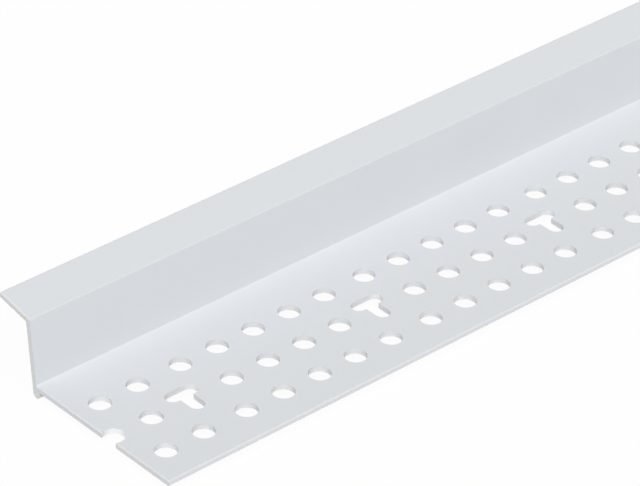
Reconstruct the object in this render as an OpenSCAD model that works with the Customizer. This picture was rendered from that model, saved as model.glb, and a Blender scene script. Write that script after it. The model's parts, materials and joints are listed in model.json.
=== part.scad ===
// Shadow gap profile: one length of extruded white PVC with a Z-shaped section.
// A perforated flange is fixed to the face of a plasterboard, the web covers the edge of the board,
// the lip closes the back of the shadow gap, and the nib below the flange is the stop for the plaster.
// X runs along the length, the flange points to -Y and the lip to +Y. The origin is on the floor,
// in the middle of the length and of the width. All sizes are in millimetres.

/* [Section] */
// Length of the piece, cut square at both ends
length = 2500; // [1000:50:3000]
// Thickness of the flange, the web and the lip
wall = 1.05; // [0.8:0.05:1.3]
// Thickness of the board: height of the web, from the top of the flange to the fold
board_h = 12.5; // [9.5:0.5:18]
// Angle by which the web leans back from the flange, in degrees
web_lean = 6.5; // [0:0.5:8]
// Width of the flange, from the foot of the web to the free edge
flange_w = 34.1; // [33:0.1:44]
// Width of the lip, from the fold to the tip, along its slope
lip_w = 7.9; // [5.9:0.1:20]
// Angle at which the lip rises to its tip, in degrees
lip_rise = 11; // [0:0.5:20]
// Depth of the nib below the underside of the flange
nib_h = 1.5; // [1.5:0.05:4]
// Thickness of the nib, which stands out towards the board from the wall of the web
nib_w = 1.6; // [1.3:0.1:2]
// Rounding of the free edges of the flange and the lip
edge_r = 0.25; // [0.1:0.05:0.35]
// Outer rounding of the fold between the web and the lip
fold_r = 0.5; // [0.3:0.05:0.75]

/* [Perforation] */
// Diameter of the round holes
hole_d = 4.05; // [2.5:0.05:5]
// Distance between neighbouring holes of a row
pitch = 8; // [7:0.1:10]
// Holes of each outer row that one stroke of the punch makes
row_holes = 5; // [3:1:8]
// Extra distance between the groups of holes of two strokes
stroke_gap = 1.2; // [0.5:0.1:6]
// Distance of the first row of holes from the foot of the web
row_edge = 10.45; // [9:0.05:12]
// Distance between neighbouring rows of holes
row_step = 8.45; // [7.5:0.05:9]
// Distance of the first T-shaped slot from the cut end
first_tee = 17; // [13:0.1:20]

/* [T-shaped slot] */
// Width of both arms of the slot
slot_w = 2.8; // [1.5:0.1:3.2]
// Length of the arm along the profile
tee_l = 6.5; // [5:0.1:8]
// Depth of the slot across the flange
tee_h = 6.8; // [5.5:0.1:8]

/* [Hidden] */
arc_steps = 24;
cut_past = 1;
nose_r = nib_w / 2;
low_z = wall + nib_h;
web_l = board_h / cos(web_lean);
nib_l = (low_z - nose_r - (wall - nose_r) * sin(web_lean)) / cos(web_lean);
fold_y = board_h * tan(web_lean);
fold_set = fold_r * tan((90 - web_lean - lip_rise) / 2);
lip_y = (lip_w - edge_r) * cos(lip_rise) + (wall - edge_r) * sin(lip_rise) + edge_r;
tip_y = fold_y + lip_y;
stroke_l = row_holes * pitch + stroke_gap;
last_stroke = ceil((length - first_tee) / stroke_l);

// A strip of the section that runs from the origin to a free end at +X with rounded edges.
module strip(reach)
{
    square([reach - edge_r, wall]);
    translate([0, edge_r]) square([reach, wall - 2 * edge_r]);
    for (z = [edge_r, wall - edge_r])
        translate([reach - edge_r, z]) circle(r = edge_r, $fn = arc_steps);
}

// The lip, which goes on from the fold at the top of the web and rises to its tip.
module lip()
{
    translate([fold_y, board_h]) rotate(lip_rise) translate([fold_set, -wall]) strip(lip_w - fold_set);
}

// The leaning web with the rounding of the fold, and below the flange the nib with its round nose.
module web()
{
    rotate(-web_lean)
    {
        translate([0, -wall]) square([wall, wall + web_l - fold_set]);
        translate([wall - nib_w, -nib_l]) square([nib_w, nib_l - wall / 2]);
        translate([wall - nose_r, -nib_l]) circle(r = nose_r, $fn = arc_steps);
        translate([fold_r, web_l - fold_set]) circle(r = fold_r, $fn = arc_steps);
    }
}

// The extruded section: top of the flange at height 0, foot of the web at x = 0, lip to the right.
module section()
{
    translate([wall / 2, -wall]) mirror([1, 0]) strip(flange_w + wall / 2);
    web();
    lip();
}

// A round hole at a distance along the piece, in a row counted from the web.
module hole(along, row)
{
    inside = along > -hole_d / 2 && along < length + hole_d / 2;
    if (inside)
        translate([along, -row_edge - row * row_step]) circle(d = hole_d, $fn = arc_steps);
}

// A T-shaped slot on the middle row. Its long arm lies along the piece, on the side of the web.
module tee(along)
{
    translate([along, tee_h / 2 - row_edge - row_step - slot_w / 2])
    {
        translate([slot_w / 2 - tee_l / 2, -slot_w / 2]) square([tee_l - slot_w, slot_w]);
        translate([-slot_w / 2, slot_w - tee_h]) square([slot_w, tee_h - slot_w]);
        for (x = [slot_w / 2 - tee_l / 2, tee_l / 2 - slot_w / 2])
            translate([x, 0]) circle(d = slot_w, $fn = arc_steps);
        translate([0, slot_w - tee_h]) circle(d = slot_w, $fn = arc_steps);
    }
}

// What one stroke of the punch takes out: two outer rows of holes, between them a middle row
// that is half a pitch further on, and the T-shaped slot where the middle row ends.
module stroke(along)
{
    if (along < length + tee_l / 2) tee(along);
    for (i = [0 : row_holes - 1], row = [0, 2])
        hole(along - (i + 0.5) * pitch, row);
    for (i = [1 : row_holes - 1])
        hole(along - i * pitch, 1);
}

// The whole piece: the section pushed out to its length, and the flange punched from end to end.
module profile()
{
    color([0.87, 0.88, 0.9])
        translate([-length / 2, (flange_w - tip_y) / 2, low_z])
        difference()
        {
            rotate([90, 0, 90]) linear_extrude(length) section();
            translate([0, 0, -wall - cut_past]) linear_extrude(wall + 2 * cut_past)
                for (i = [0 : last_stroke]) stroke(first_tee + i * stroke_l);
        }
}

profile();
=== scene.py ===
import json
import math

import bmesh
import bpy
import numpy as np
from mathutils import Matrix, Vector


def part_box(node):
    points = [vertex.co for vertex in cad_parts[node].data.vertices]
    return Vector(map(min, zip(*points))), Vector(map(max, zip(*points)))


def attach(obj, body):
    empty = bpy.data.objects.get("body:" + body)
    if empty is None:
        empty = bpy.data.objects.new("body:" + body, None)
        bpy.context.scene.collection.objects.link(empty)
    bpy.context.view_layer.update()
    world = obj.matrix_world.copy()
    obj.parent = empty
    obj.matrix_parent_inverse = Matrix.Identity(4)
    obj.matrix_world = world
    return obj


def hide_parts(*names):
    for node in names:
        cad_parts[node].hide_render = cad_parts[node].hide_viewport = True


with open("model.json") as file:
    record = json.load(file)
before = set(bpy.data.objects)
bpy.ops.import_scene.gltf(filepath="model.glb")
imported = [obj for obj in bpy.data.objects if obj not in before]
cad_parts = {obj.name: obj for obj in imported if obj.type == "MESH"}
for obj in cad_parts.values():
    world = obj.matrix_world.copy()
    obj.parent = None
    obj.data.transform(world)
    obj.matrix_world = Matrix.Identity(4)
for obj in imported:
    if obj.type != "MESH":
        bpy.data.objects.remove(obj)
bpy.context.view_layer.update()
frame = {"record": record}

# The extruded strip. White rigid PVC is pressed through a die in one go: flange, leaning web and lip are
# one even wall, and below the flange it thickens into a round-nosed nib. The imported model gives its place,
# with X along the length and Z up. Sizes are in metres and angles in degrees.
low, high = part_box("profile")
seats = {mount["name"]: mount for mount in frame["record"]["mounts"]}
wall = 0.00105
board_h = 0.0125
web_lean = 6.5
lip_w = 0.0079
lip_rise = 11
nib_w = 0.0016
edge_r = 0.00025
fold_r = 0.0002
corner_r = 0.00012
flat_end = 0.00012
shortest_flat = 4 * flat_end
corner_steps = 3
edge_steps = 4
fold_steps = 6
nose_steps = 12

flange_top = seats["board_face"]["pos_m"][2]
flange_low = flange_top - wall
_, edge_y, edge_z = seats["board_edge"]["pos_m"]
web_foot = edge_y - (edge_z - flange_top) * math.tan(math.radians(web_lean))
web_l = board_h / math.cos(math.radians(web_lean))
fold_half = math.tan(math.radians(90 - web_lean - lip_rise) / 2)


def arc(centre, radius, start, end, steps):
    """Points on a circle: centre + radius * (cos a, sin a), with the angle a in equal steps, in degrees."""
    a = np.radians(np.linspace(start, end, steps + 1))[:, None]
    return np.asarray(centre) + radius * np.hstack([np.cos(a), np.sin(a)])


def on_web(up, back):
    """A point of the web in Y and Z: up its slope from the foot, and back from its face towards the board."""
    lean = math.radians(web_lean)
    return np.array([
        web_foot + up * math.sin(lean) + back * math.cos(lean),
        flange_top + up * math.cos(lean) - back * math.sin(lean)])


def on_lip(along, down):
    """A point of the lip in Y and Z: along its slope from the fold, and down from its top face."""
    rise = math.radians(lip_rise)
    return on_web(web_l, 0) + [
        along * math.cos(rise) + down * math.sin(rise),
        along * math.sin(rise) - down * math.cos(rise)]


def in_foot(z, back):
    """The centre, at height z, of the fillet between a side of the flange and a leaning face. The face lies
    back from the one towards the board, and the centre is one radius in front of it."""
    lean = math.radians(web_lean)
    return np.array([web_foot + (z - flange_top) * math.tan(lean) + (back - corner_r) / math.cos(lean), z])


def held(outline):
    """The same outline with a point added just inside both ends of each long flat, so that it shades flat."""
    step = np.diff(outline, axis=0)
    span = np.hypot(*step.T)
    flat = np.where(span > shortest_flat)[0]
    ease = step[flat] * (flat_end / span[flat])[:, None]
    pairs = np.stack([outline[flat] + ease, outline[flat + 1] - ease], 1)
    return np.insert(outline, np.repeat(flat + 1, 2), pairs.reshape(-1, 2), axis=0)


def carried(outline, stations):
    """A surface of two parameters in quads: the outline's Y and Z, set at each station along X."""
    grid = np.empty((len(stations), len(outline), 3))
    grid[..., 0] = np.asarray(stations)[:, None]
    grid[..., 1:] = outline
    return np.stack([grid[:-1, :-1], grid[1:, :-1], grid[1:, 1:], grid[:-1, 1:]], 2).reshape(-1, 4, 3)


nose_r = nib_w / 2
lean_sin, lean_cos = math.sin(math.radians(web_lean)), math.cos(math.radians(web_lean))
nib_l = (flange_top - low.z - nose_r - (wall - nose_r) * lean_sin) / lean_cos
under_fold = wall + corner_r
inner_fold = on_web(web_l - under_fold * fold_half, under_fold)
web_outline = held(np.vstack([
    arc(in_foot(flange_top + corner_r, 0), corner_r, -90, -web_lean, corner_steps),
    arc(on_web(web_l - fold_r * fold_half, fold_r), fold_r, 180 - web_lean, 90 + lip_rise, fold_steps),
    arc(on_lip(lip_w - edge_r, edge_r), edge_r, 90 + lip_rise, lip_rise, edge_steps),
    arc(on_lip(lip_w - edge_r, wall - edge_r), edge_r, lip_rise, lip_rise - 90, edge_steps),
    arc(inner_fold, corner_r, 90 + lip_rise, 180 - web_lean, corner_steps),
    arc(on_web(-nib_l, wall - nose_r), nose_r, -web_lean, -web_lean - 180, nose_steps),
    arc(in_foot(flange_low - corner_r, wall - nib_w), corner_r, -web_lean, 90, corner_steps),
]))
edge_outline = held(np.vstack([
    arc((low.y + edge_r, flange_low + edge_r), edge_r, 270, 180, edge_steps),
    arc((low.y + edge_r, flange_top - edge_r), edge_r, 180, 90, edge_steps),
]))

# The perforation. A punch takes five holes out of each outer row and four out of the middle one, half
# a pitch on, and a T-shaped slot where the middle row ends. Each hole has its own cell of the flange,
# and the cells meet along shared lines.
mm = 0.001
row_holes = 5
stroke_gap = 0.0012
slot_w = 0.0028
tee_l = 0.0065
tee_h = 0.0068
hole_steps = 24
open_steps = 18
end_steps = 8
metre_digits = 7

punch = seats["holes_near"]
hole_r = mm * punch["dims"]["hole_r_mm"]
pitch = mm * punch["dims"]["spacing_x_mm"] / (row_holes - 1)
row_step = mm * punch["dims"]["spacing_y_mm"] / 2
row_y = punch["pos_m"][1] + row_step * np.array([1, 0, -1])
stroke = row_holes * pitch + stroke_gap
tees = np.arange(punch["pos_m"][0] + row_holes / 2 * pitch - stroke, high.x, stroke)
strokes = np.append(tees, tees[-1] + stroke)[:, None]
outer_x = np.sort(strokes - pitch * (np.arange(row_holes) + 0.5), axis=None)
outer_x = outer_x[np.minimum(outer_x - low.x, high.x - outer_x) > hole_r]
middle_x = np.sort(strokes - pitch * np.arange(1, row_holes), axis=None)
to_end = np.minimum(middle_x - low.x, high.x - middle_x)
open_x = middle_x[np.abs(to_end) < hole_r]
middle_x = middle_x[to_end > hole_r]
cell_y = np.array([
    web_outline[-1, 0] - flat_end,
    row_y[1] + row_step / 2,
    row_y[1] - row_step / 2,
    edge_outline[-1, 0] + flat_end,
])
faces = []
walls = []


def tee_rim():
    """The rim of a T-shaped slot: an arm along X with two round ends, and a stem towards -Y with one."""
    r = slot_w / 2
    arm_y, stem_y = (tee_h - slot_w) / 2, (slot_w - tee_h) / 2
    left = arc(((slot_w - tee_l) / 2, arm_y), r, 90, 270, end_steps)
    stem = arc((0, stem_y), r, 180, 270, end_steps // 2)
    half = np.vstack([[[0, arm_y + r]], left, [[-r, arm_y - r]], stem])
    return np.vstack([half, half[-2::-1] * [-1, 1]])


def raised(outline, x, y, z):
    """Points of X and Y round a centre, set at each centre along X in row y and at one height."""
    spots = np.empty((len(x), len(outline), 3))
    spots[..., 0] = np.asarray(x)[:, None] + outline[:, 0]
    spots[..., 1] = outline[:, 1] + y
    spots[..., 2] = z
    return spots


def hole_wall(line, x, y):
    """The wall of a hole, as quads between the same line of points on both sides of the flange."""
    a, b = raised(line, x, y, flange_top), raised(line, x, y, flange_low)
    walls.append(np.stack([a[:, :-1], a[:, 1:], b[:, 1:], b[:, :-1]], 2).reshape(-1, 4, 3))


def cell(line, left, right, row, x):
    """The flange round a hole, above and below: one polygon on each side of the line through its middle.
    left and right are the X of the cell's corners, counted outwards from the middle of the hole."""
    y = row_y[row]
    near, far = cell_y[row] - y, cell_y[row + 1] - y
    half = len(line) // 2
    for corners, part in ((left, line[half::-1]), (right, line[half:])):
        border = [[s, near] for s in corners] + [[s, far] for s in corners[::-1]]
        for z in (flange_top, flange_low):
            faces.append(raised(np.vstack([border, part]), x, y, z))
    hole_wall(line, x, y)


def plain(starts, ends, row):
    """The flange beside the cells of an outer row, where the punch made no hole: a box from each start to
    its end, above and below."""
    for z in (flange_top, flange_low):
        for a, b in zip(starts, ends):
            box = np.array([[a, cell_y[row]], [b, cell_y[row]], [b, cell_y[row + 1]], [a, cell_y[row + 1]]])
            faces.append(raised(box, [0], 0, z))


def open_cell(x, row):
    """A cell at a cut end, where the saw went through a hole. The rim runs between the two points at which
    its circle meets the cut."""
    to_cut = min(x - low.x, high.x - x)
    way = np.array([1 if x - low.x < high.x - x else -1, 1])
    turn = math.degrees(math.acos(-to_cut / hole_r))
    line = arc((0, 0), hole_r, -turn, turn, open_steps) * way
    y = row_y[row]
    near, far = cell_y[row] - y, cell_y[row + 1] - y
    border = way * np.array([
        [-to_cut, near], [0, near], [pitch / 2, near], [pitch / 2, far], [0, far], [-to_cut, far]])
    for z in (flange_top, flange_low):
        faces.append(raised(np.vstack([line, border]), [x], y, z))
    hole_wall(line, [x], y)


round_rim = arc((0, 0), hole_r, 90, 450, hole_steps)
for row, x in ((0, outer_x), (1, middle_x), (2, outer_x)):
    cell(round_rim, [0, -pitch / 2], [0, pitch / 2], row, x)
cell(tee_rim(), [0, -pitch / 2], [0, stroke_gap, stroke_gap + pitch / 2], 1, tees)
gap_starts = np.concatenate([[low.x], tees, [outer_x[-1] + pitch / 2]])
gap_ends = np.concatenate([[outer_x[0] - pitch / 2], tees + stroke_gap, [high.x]])
for row in (0, 2):
    plain(gap_starts, gap_ends, row)
for x in open_x:
    open_cell(x, 1)

# The web, the lip, the nib and the free edge of the same wall. They leave the die without a mark of the
# punch, so their outlines are carried along the piece from stroke to stroke, and a narrow strip joins
# them to the corners of the cells.
stations = np.concatenate([[low.x], tees + stroke_gap, [high.x]])
corners_x = np.unique(np.round(np.concatenate([
    gap_starts, gap_ends, outer_x - pitch / 2, outer_x, outer_x + pitch / 2]), metre_digits))
for start, end in zip(stations, stations[1:]):
    shared = corners_x[(corners_x > start - flat_end) & (corners_x < end + flat_end)]
    for fine_y, (coarse_y, z) in (
            (cell_y[0], web_outline[0]), (cell_y[0], web_outline[-1]),
            (cell_y[3], edge_outline[-1]), (cell_y[3], edge_outline[0])):
        fine = np.column_stack([shared, np.full(len(shared), fine_y)])
        faces.append(raised(np.vstack([fine, [[end, coarse_y], [start, coarse_y]]]), [0], 0, z))
faces += [carried(web_outline, stations), carried(edge_outline, stations)]

# The whole skin with its two sawn ends. Equal points are merged and the ends are closed. The upper edges
# of the flange and the lip are broken there by a hair, as a quick deburring leaves them.
extruded, sawn, punched_and_painted_light = range(3)
saw_edge = 0.0002
merge_gap = 0.000002
end_on = 0.999
upward = 0.5
sharp_from = 35

groups = faces + walls
corners = np.round(np.concatenate([group.reshape(-1, 3) for group in groups]), metre_digits)
spots, index = np.unique(corners, axis=0, return_inverse=True)
cuts = np.cumsum([group.shape[0] * group.shape[1] for group in groups])[:-1]
polygons = []
for group, part in zip(groups, np.split(index.reshape(-1), cuts)):
    polygons += part.reshape(group.shape[:2]).tolist()
skin = bpy.data.meshes.new("strip")
skin.from_pydata(spots.tolist(), [], polygons)
finishes = np.full(len(polygons), extruded, dtype=np.int32)
# The hole walls get the third material, whose paler tone is partly painted light.
finishes[sum(len(group) for group in faces):] = punched_and_painted_light
skin.polygons.foreach_set("material_index", finishes)

bm = bmesh.new()
bm.from_mesh(skin)
bmesh.ops.remove_doubles(bm, verts=bm.verts, dist=merge_gap)
bmesh.ops.holes_fill(bm, edges=[e for e in bm.edges if e.is_boundary], sides=0)
bmesh.ops.recalc_face_normals(bm, faces=bm.faces)
ends = [
    f for f in bm.faces
    if abs(f.normal.x) > end_on and high.x - abs(f.calc_center_median().x) < flat_end]
for face in ends:
    face.material_index = sawn
scraped = [
    e for f in ends for e in f.edges for g in e.link_faces
    if g.material_index == extruded and g.normal.z > upward]
bmesh.ops.bevel(bm, geom=scraped, offset=saw_edge, segments=1, affect="EDGES", material=extruded)
bmesh.ops.remove_doubles(bm, verts=bm.verts, dist=merge_gap)
# The bevel may list its faces in another order on each run, so all faces are put in order of their centres.
by_centre = sorted(bm.faces, key=lambda face: face.calc_center_median().to_tuple(metre_digits))
for number, face in enumerate(by_centre):
    face.index = number
bm.faces.sort()
bm.to_mesh(skin)
bm.free()
skin.shade_smooth()
skin.set_sharp_from_angle(angle=math.radians(sharp_from))
strip = bpy.data.objects.new("strip", skin)
bpy.context.scene.collection.objects.link(strip)
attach(strip, "root")
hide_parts("profile")

# The white PVC of the strip. The die leaves very fine lines along the piece and a satin skin whose gloss
# and tint wander a little. The saw leaves duller ends with marks across the wall. The walls of the holes
# get a much paler tone: partly the paleness of the punch's shear, partly painted light that brightens them
# beyond the light they get.
patch_scale = 60
patch_detail = 3
line_detail = 2
gloss_spread = 0.05

surface = bpy.data.node_groups.new("pvc_surface", "ShaderNodeTree")
for name, kind in (
        ("Tone", "Color"), ("Second Tone", "Color"), ("Roughness Min", "Float"), ("Roughness Max", "Float"),
        ("Line Scale", "Vector"), ("Line Depth", "Float")):
    surface.interface.new_socket(name=name, in_out="INPUT", socket_type="NodeSocket" + kind)
for name, kind in (("Color", "Color"), ("Roughness", "Float"), ("Normal", "Vector")):
    surface.interface.new_socket(name=name, in_out="OUTPUT", socket_type="NodeSocket" + kind)
nodes, links = surface.nodes, surface.links
given, out = nodes.new("NodeGroupInput"), nodes.new("NodeGroupOutput")
place = nodes.new("ShaderNodeTexCoord")
patches = nodes.new("ShaderNodeTexNoise")
patches.inputs["Scale"].default_value = patch_scale
patches.inputs["Detail"].default_value = patch_detail
links.new(place.outputs["Object"], patches.inputs["Vector"])
tint = nodes.new("ShaderNodeMix")
tint.data_type = "RGBA"
links.new(patches.outputs["Fac"], tint.inputs["Factor"])
links.new(given.outputs["Tone"], tint.inputs["A"])
links.new(given.outputs["Second Tone"], tint.inputs["B"])
links.new(tint.outputs["Result"], out.inputs["Color"])
gloss = nodes.new("ShaderNodeMapRange")
links.new(patches.outputs["Fac"], gloss.inputs["Value"])
links.new(given.outputs["Roughness Min"], gloss.inputs["To Min"])
links.new(given.outputs["Roughness Max"], gloss.inputs["To Max"])
links.new(gloss.outputs["Result"], out.inputs["Roughness"])
stretch = nodes.new("ShaderNodeMapping")
links.new(place.outputs["Object"], stretch.inputs["Vector"])
links.new(given.outputs["Line Scale"], stretch.inputs["Scale"])
lines = nodes.new("ShaderNodeTexNoise")
lines.inputs["Scale"].default_value = 1
lines.inputs["Detail"].default_value = line_detail
links.new(stretch.outputs["Vector"], lines.inputs["Vector"])
bump = nodes.new("ShaderNodeBump")
links.new(lines.outputs["Fac"], bump.inputs["Height"])
links.new(given.outputs["Line Depth"], bump.inputs["Distance"])
links.new(bump.outputs["Normal"], out.inputs["Normal"])


def new_material(name):
    """A node material with a Principled shader wired to its output."""
    material = bpy.data.materials.new(name)
    material.use_nodes = True
    nodes = material.node_tree.nodes
    return material, nodes, material.node_tree.links, nodes["Principled BSDF"]


def pvc(name, tone, second_tone, roughness, line_scale, line_depth):
    """PVC with its own two tones, mean roughness, and lines that are long where line_scale is small."""
    material, nodes, links, shader = new_material(name)
    group = nodes.new("ShaderNodeGroup")
    group.node_tree = surface
    for socket, value in (
            ("Tone", (*tone, 1)), ("Second Tone", (*second_tone, 1)),
            ("Roughness Min", roughness - gloss_spread), ("Roughness Max", roughness + gloss_spread),
            ("Line Scale", line_scale), ("Line Depth", line_depth)):
        group.inputs[socket].default_value = value
    for output, socket in (("Color", "Base Color"), ("Roughness", "Roughness"), ("Normal", "Normal")):
        links.new(group.outputs[output], shader.inputs[socket])
    return material


skin.materials.append(pvc(
    "extruded_pvc", tone=(0.76, 0.778, 0.80), second_tone=(0.73, 0.758, 0.79), roughness=0.4,
    line_scale=(4, 1200, 1200), line_depth=0.000003))
skin.materials.append(pvc(
    "sawn_pvc", tone=(0.71, 0.72, 0.73), second_tone=(0.68, 0.695, 0.71), roughness=0.55,
    line_scale=(800, 3000, 150), line_depth=0.00001))
# The walls of the holes: partly real shear whitening, partly painted light that makes them paler.
skin.materials.append(pvc(
    "punched_pvc", tone=(0.92, 0.935, 0.95), second_tone=(0.90, 0.92, 0.935), roughness=0.5,
    line_scale=(3000, 3000, 150), line_depth=0.00001))

# The stage: a plain pale floor that looks white and keeps a faint shadow, and an even pale surrounding
# that looks white too but gives only part of that light.
floor_size = 40
floor_gap = 0.0002
floor_tone = (0.9, 0.9, 0.9, 1)
floor_roughness = 0.9
shadow_share = 0.05
room_light = 0.293

bpy.ops.mesh.primitive_plane_add(size=floor_size, location=(0, 0, low.z - floor_gap))
floor = bpy.context.object
floor.name = "floor"


def looked_at(nodes, links):
    """A value that is 1 for rays from the camera, in a reflection or through glass, and 0 for light on
    the object: the largest of the three Light Path outputs."""
    path = nodes.new("ShaderNodeLightPath")
    total = path.outputs["Is Camera Ray"]
    for kind in ("Is Glossy Ray", "Is Transmission Ray"):
        either = nodes.new("ShaderNodeMath")
        either.operation = "MAXIMUM"
        links.new(total, either.inputs[0])
        links.new(path.outputs[kind], either.inputs[1])
        total = either.outputs["Value"]
    return total


white, nodes, links, shader = new_material("white_floor")
shader.inputs["Base Color"].default_value = floor_tone
shader.inputs["Roughness"].default_value = floor_roughness
glow = nodes.new("ShaderNodeEmission")
seen = nodes.new("ShaderNodeMixShader")
seen.inputs["Fac"].default_value = shadow_share
pick = nodes.new("ShaderNodeMixShader")
links.new(glow.outputs["Emission"], seen.inputs[1])
links.new(shader.outputs["BSDF"], seen.inputs[2])
links.new(looked_at(nodes, links), pick.inputs["Fac"])
links.new(shader.outputs["BSDF"], pick.inputs[1])
links.new(seen.outputs["Shader"], pick.inputs[2])
links.new(pick.outputs["Shader"], nodes["Material Output"].inputs["Surface"])
floor.data.materials.append(white)

surround = bpy.data.worlds.new("surround")
bpy.context.scene.world = surround
surround.use_nodes = True
nodes, links = surround.node_tree.nodes, surround.node_tree.links
around = nodes["Background"]
around.inputs["Color"].default_value = (1, 1, 1, 1)
level = nodes.new("ShaderNodeMapRange")
level.inputs["To Min"].default_value = room_light
level.inputs["To Max"].default_value = 1
links.new(looked_at(nodes, links), level.inputs["Value"])
links.new(level.outputs["Result"], around.inputs["Strength"])

# One wide soft lamp shines down from the side of the near cut end and of the flange's free edge.
lamp_way = Vector((-0.46, -0.56, 1))
lamp_energy = 2.3
lamp_spread = 60
sun = bpy.data.lights.new("soft_lamp", "SUN")
sun.energy = lamp_energy
sun.angle = math.radians(lamp_spread)
lamp = bpy.data.objects.new("soft_lamp", sun)
bpy.context.scene.collection.objects.link(lamp)
lamp.rotation_mode = "QUATERNION"
lamp.rotation_quaternion = lamp_way.to_track_quat("Z", "Y")

# The camera stands above the flange, off the near cut end, and looks slantwise along the strip, as in
# the photograph. It aims at a point level with the top of the flange, given by its distances from the
# cut end and past the first row of holes.
azimuth = math.radians(-42.3999)
elevation = math.radians(33.4794)
roll = math.radians(1.4079)
camera_distance = 0.68755
from_cut = 0.064258
past_row = 0.012395
target = Vector((low.x + from_cut, row_y[0] + past_row, flange_top))
back = Vector((
    math.sin(azimuth) * math.cos(elevation), -math.cos(azimuth) * math.cos(elevation), math.sin(elevation)))
level_right = Vector((0, 0, 1)).cross(back).normalized()
level_up = back.cross(level_right)
right = math.cos(roll) * level_right + math.sin(roll) * level_up
up = math.cos(roll) * level_up - math.sin(roll) * level_right
view = bpy.data.cameras.new("camera")
view.sensor_width = 36
view.lens = 221.94
view.clip_start = 0.05
view.clip_end = 60
camera = bpy.data.objects.new("camera", view)
bpy.context.scene.collection.objects.link(camera)
camera.matrix_world = (
    Matrix.Translation(target + back * camera_distance) @ Matrix((right, up, back)).transposed().to_4x4())
bpy.context.scene.camera = camera
bpy.context.scene.view_settings.view_transform = "Standard"
